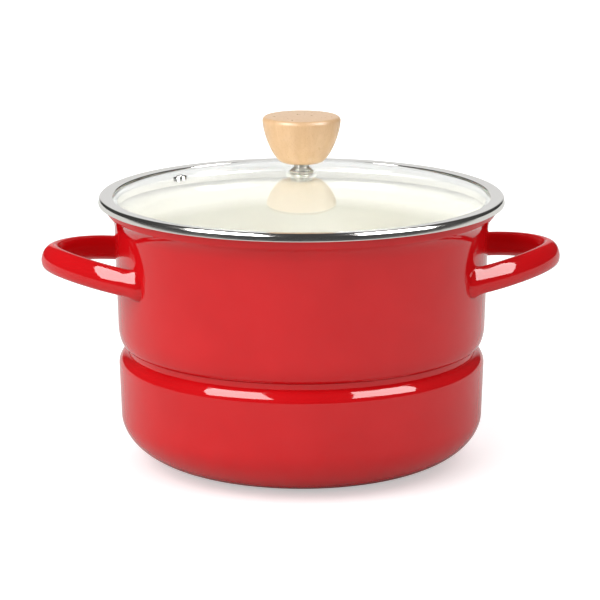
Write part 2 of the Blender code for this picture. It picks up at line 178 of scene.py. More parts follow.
@dataclass(frozen=True)
class VitreousEnamel(Finish):
    """Powdered glass fused on drawn steel: a wet gloss over deep colour, with a faint orange peel.

    The peel makes the edges of reflected lamps waver a little, and the colour drifts where the coat is thinner.
    """

    colour: str
    thin: str
    drift: float = 40 * MM
    peel: float = 5 * MM
    peel_depth: float = 0.006 * MM
    rough: Pair = (0.035, 0.065)
    ior: float = 1.52

    def shade(self, tree: Tree, place: Socket) -> Socket:
        """Build the enamel's shader."""
        cloud = add(tree, "TexNoise", {"Vector": place, "Scale": 1 / self.drift, "Detail": 2.0}).outputs["Fac"]
        span = {"Value": cloud, "From Min": NOISE_LOW, "From Max": NOISE_HIGH}
        share = add(tree, "MapRange", span)
        blend = {0: share.outputs["Result"], 6: linear(self.colour), 7: linear(self.thin)}
        colour = add(tree, "Mix", blend, data_type="RGBA")
        peel = add(tree, "TexNoise", {"Vector": place, "Scale": 1 / self.peel, "Detail": 1.0})
        low, high = self.rough
        rough = add(tree, "MapRange", {"Value": cloud, "To Min": low, "To Max": high})
        relief = add(tree, "Bump", {"Height": peel.outputs["Fac"], "Distance": self.peel_depth})
        look = {
            "Base Color": colour.outputs[2],
            "Roughness": rough.outputs["Result"],
            "IOR": self.ior,
            "Normal": relief.outputs["Normal"],
        }
        return add(tree, "BsdfPrincipled", look).outputs["BSDF"]


@dataclass(frozen=True)
class LatheFinishedSteel(Finish):
    """Stainless steel finished on a lathe, so that hairlines run round it and stretch its highlights."""

    colour: str
    rough: Pair
    hairline: float = 0.35 * MM
    hairline_depth: float = 0.0004 * MM
    smear: float = 12 * MM

    def shade(self, tree: Tree, place: Socket) -> Socket:
        """Build the steel's shader, whose hairlines follow the distance from the pot's axis and the height."""
        parts = add(tree, "SeparateXYZ", {"Vector": place}).outputs
        flat = add(tree, "CombineXYZ", {"X": parts["X"], "Y": parts["Y"]})
        reach = add(tree, "VectorMath", {0: flat.outputs["Vector"]}, operation="LENGTH")
        along = add(tree, "CombineXYZ", {"X": reach.outputs["Value"], "Y": parts["Z"]})
        fine = {"Vector": along.outputs["Vector"], "Scale": 1 / self.hairline, "Detail": 3.0}
        lines = add(tree, "TexNoise", fine)
        smear = add(tree, "TexNoise", {"Vector": place, "Scale": 1 / self.smear, "Detail": 2.0}).outputs["Fac"]
        low, high = self.rough
        rough = add(tree, "MapRange", {"Value": smear, "To Min": low, "To Max": high})
        relief = add(tree, "Bump", {"Height": lines.outputs["Fac"], "Distance": self.hairline_depth})
        look = {
            "Base Color": linear(self.colour),
            "Metallic": 1.0,
            "Roughness": rough.outputs["Result"],
            "Normal": relief.outputs["Normal"],
        }
        return add(tree, "BsdfPrincipled", look).outputs["BSDF"]


@dataclass(frozen=True)
class TemperedGlass(Finish):
    """Pressed and tempered soda-lime glass: clear, faintly green, and a mirror where it is seen at a slant.

    Lamps shine straight through it, so that what it covers is lit as under real glass.
    """

    colour: str
    lamp_colour: str
    gloss: str
    wave: float = 35 * MM
    wave_depth: float = 0.02 * MM
    ior: float = 1.5

    def shade(self, tree: Tree, place: Socket) -> Socket:
        """Build the glass's shader, with a long shallow waviness from the press."""
        wave = add(tree, "TexNoise", {"Vector": place, "Scale": 1 / self.wave, "Detail": 0.0})
        relief = add(tree, "Bump", {"Height": wave.outputs["Fac"], "Distance": self.wave_depth})
        look = {
            "Base Color": linear(self.colour),
            "Roughness": 0.0,
            "IOR": self.ior,
            "Specular Tint": linear(self.gloss),
            "Transmission Weight": 1.0,
            "Normal": relief.outputs["Normal"],
        }
        glass = add(tree, "BsdfPrincipled", look).outputs["BSDF"]
        through = add(tree, "BsdfTransparent", {"Color": linear(self.lamp_colour)}).outputs["BSDF"]
        lamp_ray = add(tree, "LightPath").outputs["Is Shadow Ray"]
        return add(tree, "MixShader", {0: lamp_ray, 1: glass, 2: through}).outputs["Shader"]


@dataclass(frozen=True)
class LacqueredBeech(Finish):
    """Beech turned along its grain, sanded and clear lacquered: pale streaks, dark flecks, a soft sheen."""

    light: str
    dark: str
    fleck: str
    streak: float = 3.5 * MM
    streak_stretch: float = 0.1
    streak_span: Pair = (0.3, 0.75)
    streak_depth: float = 0.012 * MM
    streak_wander: float = 0.6
    fleck_width: float = 0.7 * MM
    fleck_stretch: float = 0.16
    fleck_edge: Pair = (0.12, 0.42)
    fleck_strength: float = 0.30
    rough: Pair = (0.24, 0.34)
    ior: float = 1.5

    def shade(self, tree: Tree, place: Socket) -> Socket:
        """Build the wood's shader, with its grain along Z."""
        drawn = add(tree, "Mapping", {"Vector": place, "Scale": (1.0, 1.0, self.streak_stretch)})
        streaks = {"Vector": drawn.outputs["Vector"], "Scale": 1 / self.streak, "Detail": 4.0}
        grain = add(tree, "TexNoise", streaks | {"Distortion": self.streak_wander}).outputs["Fac"]
        low, high = self.streak_span
        share = add(tree, "MapRange", {"Value": grain, "From Min": low, "From Max": high})
        blend = {0: share.outputs["Result"], 6: linear(self.light), 7: linear(self.dark)}
        wood = add(tree, "Mix", blend, data_type="RGBA")
        slim = add(tree, "Mapping", {"Vector": place, "Scale": (1.0, 1.0, self.fleck_stretch)})
        cells = add(tree, "TexVoronoi", {"Vector": slim.outputs["Vector"], "Scale": 1 / self.fleck_width})
        low, high = self.fleck_edge
        fade = {"Value": cells.outputs["Distance"], "From Min": low, "From Max": high}
        inside = add(tree, "MapRange", fade | {"To Min": self.fleck_strength, "To Max": 0.0})
        blend = {0: inside.outputs["Result"], 6: wood.outputs[2], 7: linear(self.fleck)}
        flecked = add(tree, "Mix", blend, data_type="RGBA")
        relief = add(tree, "Bump", {"Height": grain, "Distance": self.streak_depth})
        low, high = self.rough
        rough = add(tree, "MapRange", {"Value": grain, "To Min": low, "To Max": high})
        look = {
            "Base Color": flecked.outputs[2],
            "Roughness": rough.outputs["Result"],
            "IOR": self.ior,
            "Normal": relief.outputs["Normal"],
        }
        return add(tree, "BsdfPrincipled", look).outputs["BSDF"]


@dataclass(frozen=True)
class MouldedSilicone(Finish):
    """Clear food silicone from a mould: milky, dull and finely bloomed."""

    colour: str
    bloom: float = 0.6 * MM
    bloom_depth: float = 0.01 * MM
    rough: Pair = (0.38, 0.55)
    ior: float = 1.41
    milk: float = 0.25
    milk_depth: float = 1 * MM

    def shade(self, tree: Tree, place: Socket) -> Socket:
        """Build the silicone's shader."""
        bloom = add(tree, "TexNoise", {"Vector": place, "Scale": 1 / self.bloom, "Detail": 3.0}).outputs["Fac"]
        low, high = self.rough
        rough = add(tree, "MapRange", {"Value": bloom, "To Min": low, "To Max": high})
        relief = add(tree, "Bump", {"Height": bloom, "Distance": self.bloom_depth})
        look = {
            "Base Color": linear(self.colour),
            "Roughness": rough.outputs["Result"],
            "IOR": self.ior,
            "Subsurface Weight": self.milk,
            "Subsurface Scale": self.milk_depth,
            "Normal": relief.outputs["Normal"],
        }
        return add(tree, "BsdfPrincipled", look).outputs["BSDF"]


# Deep red with a wet gloss: lamps show as sharp pink panels in it, and the pale floor veils the upright wall.
RED_ENAMEL = VitreousEnamel("vitreous_enamel_red", "#CB1117", "#C30D13")
# Warm white of the inside, a little softer in its gloss, and painted greyer than the real enamel: painted
# shade.
CREAM_ENAMEL_PAINTED_SHADE = VitreousEnamel("vitreous_enamel_cream_painted_shade", "#CECAC1", "#CBC6BB", rough=(0.05, 0.09))
# Bright ring and screws: black and white bands side by side, hardly blurred.
POLISHED_STEEL = LatheFinishedSteel("stainless_steel_polished", "#F1EFEB", (0.09, 0.15))
# The tray and the collar: grey, with wide soft highlights round the axis and hairlines coarse enough to show.
SATIN_STEEL = LatheFinishedSteel("stainless_steel_satin", "#CFCECA", (0.24, 0.34), hairline_depth=0.002 * MM)
# Nearly colourless, and its gloss is a little grey, as on a lid that has been handled.
CLEAR_GLASS = TemperedGlass("soda_lime_glass_tempered", "#FAFCFA", "#DEE1DF", "#D8DBD9")
# Pale peach wood with fine streaks and a soft sheen on the rounded edge.
BEECH = LacqueredBeech("beech_lacquered", "#DAB48A", "#D2AA7E", "#BC9068")
# Grey-white and dull, mostly hidden under steel and glass.
SILICONE = MouldedSilicone("silicone_moulded", "#BAB6AA")
# Dull yellow of the insert in the knob's foot.
BRASS = LatheFinishedSteel("brass_turned", "#D9BD7E", (0.20, 0.30))


# Outlines and modelling


def arc(centre: Point, width: float, height: float, start: float, end: float, steps: int = 12) -> list[Point]:
    """Draw an ellipse's arc, both ends included.

    Args:
        centre: radius and height of the ellipse's centre.
        width: its half width.
        height: its half height.
        start: first angle in degrees.
        end: last angle in degrees.
        steps: how many chords the arc gets.

    Returns:
        The arc's points.
    """
    points = []
    for step in range(steps + 1):
        angle = math.radians(start + (end - start) * step / steps)
        points.append((centre[0] + width * math.cos(angle), centre[1] + height * math.sin(angle)))
    return points


def offset(path: Sequence[Point], distance: float) -> list[Point]:
    """Move a path to its left, with mitred corners.

    Args:
        path: the points to move.
        distance: how far.

    Returns:
        The moved points. An end on the axis stays on it.
    """
    moved = []
    for index, point in enumerate(path):
        here = Vector(point)
        sides = []
        if index > 0:
            sides.append((here - Vector(path[index - 1])).normalized())
        if index < len(path) - 1:
            sides.append((Vector(path[index + 1]) - here).normalized())
        normals = [Vector((-side.y, side.x)) for side in sides]
        mean = sum(normals, Vector((0.0, 0.0))).normalized()
        spot = here + mean * (distance / mean.dot(normals[0]))
        moved.append((0.0 if point[0] == 0.0 else spot.x, spot.y))
    return moved


def finish_mesh(piece: Piece, name: str, angle: float = SHARP_ANGLE) -> Piece:
    """Name a piece, put its place in its mesh and shade it smooth except at its sharp edges.

    Args:
        piece: the object, active and in object mode.
        name: its name.
        angle: edges sharper than this many degrees stay sharp.

    Returns:
        The same object.
    """
    piece.name = name
    piece.data.name = name
    bpy.ops.object.transform_apply(location=True, rotation=True, scale=True)
    bpy.ops.object.shade_smooth_by_angle(angle=math.radians(angle))
    return piece


def turn(name: str, profile: Sequence[Point], steps: int = ROUND_STEPS, closed: bool = True) -> Piece:
    """Turn a profile about the Z axis, as on a lathe.

    A small plane is merged to one point, which is extruded along the profile and then spun.

    Args:
        name: the piece's name.
        profile: radius and height of each point. An open profile starts and ends on the axis.
        steps: how many steps the full turn has.
        closed: whether the profile's last point joins its first.

    Returns:
        The turned piece.
    """
    bpy.ops.object.select_all(action="DESELECT")
    bpy.ops.mesh.primitive_plane_add(size=MM)
    bpy.ops.object.mode_set(mode="EDIT")
    bpy.ops.mesh.select_mode(type="VERT")
    bpy.ops.mesh.merge(type="CENTER")
    radius, height = profile[0]
    bpy.ops.transform.translate(value=(radius, 0.0, height))
    stops = list(profile[1:]) + ([profile[0]] if closed else [])
    for next_radius, next_height in stops:
        step = (next_radius - radius, 0.0, next_height - height)
        bpy.ops.mesh.extrude_region_move(TRANSFORM_OT_translate={"value": step})
        radius, height = next_radius, next_height
    bpy.ops.mesh.select_all(action="SELECT")
    bpy.ops.mesh.spin(steps=steps, angle=math.tau, center=(0.0, 0.0, 0.0), axis=(0.0, 0.0, 1.0))
    bpy.ops.mesh.select_all(action="SELECT")
    bpy.ops.mesh.remove_doubles(threshold=WELD_DISTANCE)
    bpy.ops.mesh.normals_make_consistent(inside=False)
    bpy.ops.object.mode_set(mode="OBJECT")
    return finish_mesh(bpy.context.object, name)


def carve(piece: Piece, cutter: Piece) -> None:
    """Take the cutter's shape out of a piece and remove the cutter.

    Args:
        piece: the object that is cut.
        cutter: a closed object.
    """
    bpy.ops.object.select_all(action="DESELECT")
    bpy.context.view_layer.objects.active = piece
    piece.select_set(True)
    knife = piece.modifiers.new("carve", "BOOLEAN")
    knife.operation = "DIFFERENCE"
    knife.solver = "EXACT"
    knife.object = cutter
    bpy.ops.object.modifier_apply(modifier=knife.name)
    bpy.data.objects.remove(cutter)
    bpy.ops.object.shade_smooth_by_angle(angle=math.radians(SHARP_ANGLE))


def paint(
    piece: Piece, *finishes: Finish, pick: Callable[[bpy.types.MeshPolygon], int] | None = None
) -> None:
    """Give a piece its finishes.

    Args:
        piece: the object.
        *finishes: one finish for each material slot.
        pick: says which slot a face takes, or None for the first.
    """
    piece.data.materials.clear()
    for finish in finishes:
        piece.data.materials.append(finish.material())
    if pick:
        for face in piece.data.polygons:
            face.material_index = pick(face)


def seat(piece: Piece, body: Body, slot: Slot, *nodes: str) -> Piece:
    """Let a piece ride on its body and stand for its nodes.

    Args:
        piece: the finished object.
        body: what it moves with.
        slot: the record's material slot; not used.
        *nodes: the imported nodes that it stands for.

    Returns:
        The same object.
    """
    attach(piece, body.value)
    if nodes:
        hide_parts(*nodes)
    LOG.info("%s: %d faces on %s", piece.name, len(piece.data.polygons), body.value)
    return piece


@dataclass
class PotBody:
    """The drawn pot: dished base, straight lower wall, shoulder, neck, upper wall and flared lip."""

    wall: float = 1.4 * MM
    radius: float = 113.6 * MM
    waist_height: float = 73.6 * MM
    upper_taper: float = 1.6 * MM
    lip_tilt: float = 47.0
    lip_bend: float = 2.0 * MM
    lip_face: float = 3.2 * MM
    upper_turn: Pair = (4.7 * MM, 13.3 * MM)
    waist_depth: float = 6.2 * MM
    crease: float = 0.35 * MM
    neck_height: float = 3.3 * MM
    shoulder_tilt: float = 68.0
    lower_step: float = 0.3 * MM
    lower_taper: float = 1.1 * MM
    base_corner: Pair = (46.5 * MM, 30.3 * MM)
    dish: Pair = (52.0 * MM, 1.0 * MM)
    dish_slope: float = 3.0 * MM
    dish_bend: float = 19.0

    def __post_init__(self) -> None:
        """Work out the heights and radii that follow, with the lip's edge where the frame has it."""
        _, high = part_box("pot_body")
        self.lip_radius = high.x
        self.height = high.z
        self.mouth_radius = self.radius + self.upper_taper
        self.lower_radius = self.radius - self.lower_step

    def lower_path(self) -> list[Point]:
        """Outer side from the middle of the base to the waist crease."""
        dish_radius, dish_depth = self.dish
        corner_width, corner_height = self.base_corner
        foot = self.lower_radius - self.lower_taper - corner_width
        path = [(0.0, dish_depth)]
        centre = (dish_radius, dish_depth - self.dish_slope)
        path += arc(centre, self.dish_slope, self.dish_slope, 90, 90 - self.dish_bend, steps=4)
        path.append((dish_radius + self.dish_slope, 0.0))
        path += arc((foot, corner_height), corner_width, corner_height, -90, 0, steps=40)
        neck = self.radius - self.waist_depth + self.crease
        neck_bottom = self.waist_height - self.crease - self.neck_height
        tilt = math.radians(self.shoulder_tilt)
        shoulder = (self.lower_radius - neck) / (1 - math.cos(tilt))
        centre = (self.lower_radius - shoulder, neck_bottom - shoulder * math.sin(tilt))
        path += arc(centre, shoulder, shoulder, 0, self.shoulder_tilt, steps=28)
        path += arc((neck, self.waist_height), self.crease, self.crease, -90, -270, steps=8)
        return path

    def upper_path(self) -> list[Point]:
        """Outer side from the waist crease over the flare to the lip's rounded edge."""
        turn_width, turn_height = self.upper_turn
        centre = (self.radius - turn_width, self.waist_height + self.crease + turn_height)
        path = arc(centre, turn_width, turn_height, -90, 0, steps=24)
        tilt = math.radians(self.lip_tilt)
        bend = self.lip_bend
        flare = (self.lip_radius - self.mouth_radius) / (1 - math.cos(tilt)) - bend
        face = self.height - self.wall / 2 - self.lip_face
        foot = face - (flare + bend) * math.sin(tilt)
        path += arc((self.mouth_radius + flare, foot), flare, flare, 180, 180 - self.lip_tilt, steps=20)
        path += arc((self.lip_radius - bend, face), bend, bend, -self.lip_tilt, 0, steps=8)[1:]
        path.append((self.lip_radius, self.height - self.wall / 2))
        return path

    def build(self) -> None:
        """Turn the wall and enamel it, red outside and cream inside."""
        outer = self.lower_path() + self.upper_path()
        inner = offset(outer, self.wall)
        half = self.wall / 2
        edge = arc((self.lip_radius - half, self.height - half), half, half, 0, 180)
        body = turn("enamelled_pot", outer + edge[1:-1] + inner[::-1], closed=False)
        rows = self.row_of_each_face(body, outer)
        # The inside's cream is painted darker and greyer than the real enamel, as painted shade.
        paint(body, RED_ENAMEL, CREAM_ENAMEL_PAINTED_SHADE, pick=lambda face: rows[face.index])
        seat(body, Body.POT, Slot.ENAMEL, "pot_body")

    def row_of_each_face(self, body: Piece, outer: Sequence[Point]) -> list[int]:
        """Tell the red faces from the cream ones.

        Args:
            body: the turned pot.
            outer: its outer path.

        Returns:
            0 for each face on the outer path and 1 for each other face.
        """
        spots = [Vector(point) for point in outer]
        limit = (self.wall / 4) ** 2
        found = []
        for face in body.data.polygons:
            radius = math.hypot(face.center.x, face.center.y)
            here = Vector((radius, face.center.z))
            nearest = min(self.distance_squared(here, *ends) for ends in zip(spots, spots[1:]))
            found.append(0 if nearest < limit else 1)
        return found

    @staticmethod
    def distance_squared(point: Vector, start: Vector, end: Vector) -> float:
        """Squared distance from a point to a stretch of the profile."""
        along = end - start
        share = max(0.0, min(1.0, (point - start).dot(along) / max(along.length_squared, 1e-12)))
        return (point - start - along * share).length_squared


@dataclass
class LoopHandle:
    """A welded loop handle: an oval bar bowed from wall to wall, highest at its tip, its top leaning inward."""

    side: Side
    reach: float = 40.45 * MM
    spread: float = 51.5 * MM
    bow_power: float = 1.55
    height: float = 121.6 * MM
    rise: float = 7.1 * MM
    rise_power: float = 1.35
    thickness: float = 10.4 * MM
    depth: float = 16.5 * MM
    lean: float = math.radians(19)
    weld: float = 6.0 * MM
    weld_grow: float = 0.22
    sink: float = 6.0 * MM
    steps: int = 72
    points: int = 48
    sharp_angle: float = 40.0
    wall_radius: float = 114.4 * MM
    root_radius: float = 113.7 * MM

    def stations(self) -> list[tuple[Vector, float, float]]:
        """Centre, heading and size of each loop of the bar, from one root to the other."""
        root = math.sqrt(self.wall_radius**2 - self.spread**2)
        bow = self.wall_radius + self.reach - root
        power = 2 / self.bow_power
        centres = []
        for step in range(self.steps + 1):
            angle = math.pi * (0.5 - step / self.steps)
            out = abs(math.cos(angle)) ** power
            across = math.copysign(abs(math.sin(angle)) ** power, angle)
            rise = self.rise * (1.0 - (1.0 - out) ** self.rise_power)
            centres.append(Vector((root + bow * out, self.spread * across, self.height + rise)))
        sunk = Vector((self.sink, 0.0, 0.0))
        centres = [centres[0] - sunk] + centres + [centres[-1] - sunk]
        found = []
        for index, centre in enumerate(centres):
            ahead = centres[min(index + 1, len(centres) - 1)] - centres[max(index - 1, 0)]
            out = centre.x - root
            grow = 1.0 + self.weld_grow * max(0.0, 1.0 - max(0.0, out) / self.weld) ** 2
            found.append((centre, math.atan2(ahead.y, ahead.x), grow))
        return found

    def build(self) -> None:
        """Sweep the bar, cut its roots to the wall and enamel it."""
        stations = self.stations()
        centre, heading, size = stations[0]
        bpy.ops.object.select_all(action="DESELECT")
        bpy.ops.mesh.primitive_circle_add(vertices=self.points, radius=self.depth / 2)
        bpy.ops.object.mode_set(mode="EDIT")
        bpy.ops.mesh.select_all(action="SELECT")
        origin = (0.0, 0.0, 0.0)
        bpy.ops.transform.resize(value=(1.0, self.thickness / self.depth, 1.0), center_override=origin)
        turn_selected(-self.lean, "Z", origin)
        turn_selected(math.radians(-90), "Y", origin)
        turn_selected(heading, "Z", origin)
        bpy.ops.transform.resize(value=(size, size, size), center_override=origin)
        bpy.ops.transform.translate(value=centre)
        for next_centre, next_heading, next_size in stations[1:]:
            bpy.ops.mesh.extrude_edges_move(TRANSFORM_OT_translate={"value": next_centre - centre})
            turn_selected(next_heading - heading, "Z", next_centre)
            grow = next_size / size
            bpy.ops.transform.resize(value=(grow, grow, grow), center_override=next_centre)
            centre, heading, size = next_centre, next_heading, next_size
        bpy.ops.mesh.select_all(action="SELECT")
        if self.side is Side.LEFT:
            bpy.ops.transform.resize(value=(-1.0, 1.0, 1.0), center_override=origin)
        bpy.ops.mesh.select_all(action="DESELECT")
        bpy.ops.mesh.select_non_manifold()
        bpy.ops.mesh.edge_face_add()
        bpy.ops.mesh.select_all(action="SELECT")
        bpy.ops.mesh.normals_make_consistent(inside=False)
        bpy.ops.object.mode_set(mode="OBJECT")
        name = f"loop_handle_{self.side.name.lower()}"
        bar = finish_mesh(bpy.context.object, name, self.sharp_angle)
        low, high = self.height - self.depth, self.height + self.rise + self.depth
        inside = [(0.0, low), (self.root_radius, low), (self.root_radius, high), (0.0, high)]
        carve(bar, turn("pot_side", inside, closed=False))
        paint(bar, RED_ENAMEL)
        seat(bar, Body.POT, Slot.ENAMEL, f"handle_{self.side.name.lower()}")


def turn_selected(angle: float, axis: str, centre: Sequence[float]) -> None:
    """Turn what is selected in edit mode about an axis through a point.

    Args:
        angle: the turn, right-handed. With no window the operator turns the other way, so it is negated.
        axis: X, Y or Z.
        centre: a point on the axis.
    """
    bpy.ops.transform.rotate(value=-angle, orient_axis=axis, center_override=centre)


@dataclass
class SteamerTray:
    """A perforated disc: a flat edge on the waist ledge and a sunk middle with rings of steam holes."""

    sheet: float = 1.0 * MM
    well_slope: float = 3.0 * MM
    edge_width: float = 3.8 * MM
    hole_radius: float = 4.5 * MM
    pitch: float = 22.0 * MM
    rings: int = 4
    first_ring: int = 6
    hole_steps: int = 32

    def build(self) -> None:
        """Turn the disc, punch its holes and give it a satin finish."""
        low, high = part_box("steamer_tray")
        plate = low.z
        flange = high.z - self.sheet
        well = high.x - self.edge_width
        under = [(0.0, plate), (well - self.well_slope, plate)]
        under += [(well, plate + self.well_slope), (well, flange), (high.x, flange)]
        tray = turn("steamer_tray_disc", under + offset(under, self.sheet)[::-1], closed=False)
        punches = self.punches(plate + self.sheet / 2)
        carve(tray, punches)
        paint(tray, SATIN_STEEL)
        seat(tray, Body.TRAY, Slot.SATIN, "steamer_tray")

    def punches(self, height: float) -> Piece:
        """Make one object with a rod for each hole.

        Args:
            height: the middle of the plate.

        Returns:
            The joined rods.
        """
        spots = [(0.0, 0.0)]
        for ring in range(1, self.rings + 1):
            count = ring * self.first_ring
            for index in range(count):
                angle = math.tau * index / count
                reach = ring * self.pitch
                spots.append((reach * math.cos(angle), reach * math.sin(angle)))
        bpy.ops.object.select_all(action="DESELECT")
        bpy.ops.mesh.primitive_cylinder_add(
            vertices=self.hole_steps, radius=self.hole_radius, depth=4 * self.sheet, location=(0.0, 0.0, height)
        )
        bpy.ops.object.mode_set(mode="EDIT")
        for (x, y), (next_x, next_y) in zip(spots, spots[1:]):
            bpy.ops.mesh.duplicate_move(TRANSFORM_OT_translate={"value": (next_x - x, next_y - y, 0.0)})
        bpy.ops.object.mode_set(mode="OBJECT")
        return bpy.context.object


@dataclass
class Lid:
    """The lid: a glass dome bedded in a folded steel ring, with a vent eyelet."""

    sheet: float = 0.5 * MM
    flange_width: float = 8.9 * MM
    crest: float = 0.6 * MM
    top_bend: float = 2.2 * MM
    top_tilt: float = 4.0
    inner_bend: float = 0.7 * MM
    band_curl: float = 0.55 * MM
    band_tilt: float = 8.0
    gasket_curl: Pair = (3.0 * MM, 2.3 * MM)
    gasket_inset: float = 0.4 * MM
    skirt_inset: float = 11.8 * MM
    skirt_bend: float = 1.4 * MM
    skirt_depth: float = 5.2 * MM
    snug: float = 0.1 * MM
    gasket_foot: float = 0.3 * MM
    glass_thickness: float = 2.6 * MM
    rim_width: float = 7.3 * MM
    dome_rise: float = 14.8 * MM
    edge_bevel: float = 0.6 * MM
    gasket_foot_width: float = 7.0 * MM
    knob_hole: float = 4.6 * MM
    vent_distance: float = 76.2 * MM
    vent_azimuth: float = math.radians(167.7)
    vent_bore: float = 1.5 * MM
    vent_tube: float = 2.7 * MM
    vent_flange: Pair = (4.4 * MM, 1.4 * MM)
    vent_foot: Pair = (3.9 * MM, 0.9 * MM)
    vent_gap: float = 0.3 * MM
    vent_steps: int = 48
    dome_steps: int = 56

    def __post_init__(self) -> None:
        """Read the ring's and the glass's places from the frame."""
        ring_low, ring_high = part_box("lid_ring")
        _, glass_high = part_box("lid_glass")
        self.ring_radius = ring_high.x
        self.ring_bottom = ring_low.z + self.skirt_depth
        self.glass_radius = glass_high.x
        self.rim_bottom = self.ring_bottom + self.sheet + self.gasket_foot + 2 * self.snug
        self.rim_top = self.rim_bottom + self.glass_thickness
        self.dome_edge = self.glass_radius - self.rim_width
        self.sphere = (self.dome_edge**2 + self.dome_rise**2) / (2 * self.dome_rise)

    def dome(self, radius: float) -> float:
        """Height of the glass's upper side at this distance from the axis."""
        return self.rim_top + self.dome_rise - self.sphere + math.sqrt(self.sphere**2 - radius**2)

    def ring_path(self) -> list[Point]:
        """Outer side of the ring's folded sheet, from the foot of its skirt to the inner edge of its flange."""
        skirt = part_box("lid_ring")[1].x - self.skirt_inset
        path = [(skirt, self.ring_bottom - self.skirt_depth)]
        bend = self.skirt_bend
        path += arc((skirt + bend, self.ring_bottom - bend), bend, bend, 180, 90, steps=8)
        curl, bend, tilt = self.band_curl, self.top_bend, math.radians(self.band_tilt)
        path += arc((self.ring_radius - curl, self.ring_bottom + curl), curl, curl, -90, self.band_tilt)
        centre_height = self.rim_top + self.snug + self.sheet + self.crest - bend
        climb = centre_height + bend * math.sin(tilt) - path[-1][1]
        centre = (path[-1][0] - climb * math.tan(tilt) - bend * math.cos(tilt), centre_height)
        path += arc(centre, bend, bend, self.band_tilt, 90 + self.top_tilt, steps=14)
        slope, roll = math.radians(self.top_tilt), self.inner_bend
        edge = self.ring_radius - self.flange_width
        fall = (path[-1][0] - edge - roll * (1 - math.sin(slope))) * math.tan(slope)
        centre = (edge + roll, path[-1][1] - fall - roll * math.cos(slope))
        path += arc(centre, roll, roll, 90 + self.top_tilt, 180, steps=8)
        path.append((edge, self.rim_top + self.snug))
        return path

    def build(self) -> None:
        """Fold the ring, bed the glass in it and set the eyelet."""
        self.build_ring()
        self.build_gasket()
        self.build_glass()
        self.build_vent()

    def build_ring(self) -> None:
        """Fold the sheet round the edge of the glass."""
        path = self.ring_path()
        ring = turn("lid_ring_folded", path + offset(path, self.sheet)[::-1])
        paint(ring, POLISHED_STEEL)
        seat(ring, Body.LID, Slot.POLISHED, "lid_ring")

    def build_gasket(self) -> None:
        """Bed the glass on an L-shaped silicone strip that follows the ring's curl."""
        lip = self.glass_radius - self.gasket_foot_width
        top = self.rim_top - self.edge_bevel
        foot_top = self.rim_bottom - self.snug
        edge = self.glass_radius + self.snug
        curl_width, curl_height = self.gasket_curl
        side = self.ring_radius - self.gasket_inset
        centre = (side - curl_width, self.ring_bottom + curl_height)
        curl = arc(centre, curl_width, curl_height, -90, 0, steps=14)
        ring_side = [(lip, self.ring_bottom)] + curl + [(side, top)]
        bevel = self.edge_bevel
        glass_side = [(edge, top), (edge, foot_top + bevel), (edge - bevel, foot_top), (lip, foot_top)]
        gasket = turn("lid_gasket_strip", offset(ring_side, self.sheet + self.snug) + glass_side)
        paint(gasket, SILICONE)
        seat(gasket, Body.LID, Slot.SILICONE, "lid_gasket")

    def build_glass(self) -> None:
        """Press the dome, with its ground rim, its knob hole and its vent hole."""
        dome = []
        for step in range(self.dome_steps + 1):
            radius = self.knob_hole + (self.dome_edge - self.knob_hole) * step / self.dome_steps
            dome.append((radius, self.dome(radius)))
        under = [(radius, height - self.glass_thickness) for radius, height in dome]
        bevel = self.edge_bevel
        rim = arc((self.glass_radius - bevel, self.rim_top - bevel), bevel, bevel, 90, 0, steps=5)
        rim += arc((self.glass_radius - bevel, self.rim_bottom + bevel), bevel, bevel, 0, -90, steps=5)
        glass = turn("lid_dome", dome + rim + under[::-1])
        bpy.ops.object.select_all(action="DESELECT")
        bore, depth = self.vent_tube + self.vent_gap, 4 * self.glass_thickness
        bpy.ops.mesh.primitive_cylinder_add(vertices=self.vent_steps, radius=bore, depth=depth)
        drill = bpy.context.object
        self.stand_on_dome(drill)
        carve(glass, drill)
        paint(glass, CLEAR_GLASS)
        seat(glass, Body.LID, Slot.GLASS, "lid_glass")

    def stand_on_dome(self, piece: Piece) -> None:
        """Move a piece from the origin to the vent's place, square to the dome."""
        piece.location = (
            self.vent_distance * math.cos(self.vent_azimuth),
            self.vent_distance * math.sin(self.vent_azimuth),
            self.dome(self.vent_distance),
        )
        piece.rotation_euler = (0.0, math.asin(self.vent_distance / self.sphere), self.vent_azimuth)
        bpy.context.view_layer.update()

    def build_vent(self) -> None:
        """Roll the eyelet: a domed flange on the glass, a tube through it and a foot below."""
        below = -self.glass_thickness - self.snug
        flange_radius, flange_height = self.vent_flange
        foot_radius, foot_height = self.vent_foot
        crown = (self.vent_bore + flange_radius) / 2
        profile = [(self.vent_tube, below), (self.vent_tube, self.snug)]
        profile += arc((crown, self.snug), flange_radius - crown, flange_height, 0, 180, steps=20)
        profile.append((self.vent_bore, below - foot_height))
        half = foot_height / 2
        profile += arc((foot_radius - half, below - half), half, half, -90, 90, steps=10)
        vent = turn("vent_eyelet_rolled", profile, SMALL_STEPS)
        self.stand_on_dome(vent)
        bpy.ops.object.transform_apply(location=True, rotation=True, scale=True)
        paint(vent, POLISHED_STEEL)
        seat(vent, Body.LID, Slot.POLISHED, "vent_eyelet")


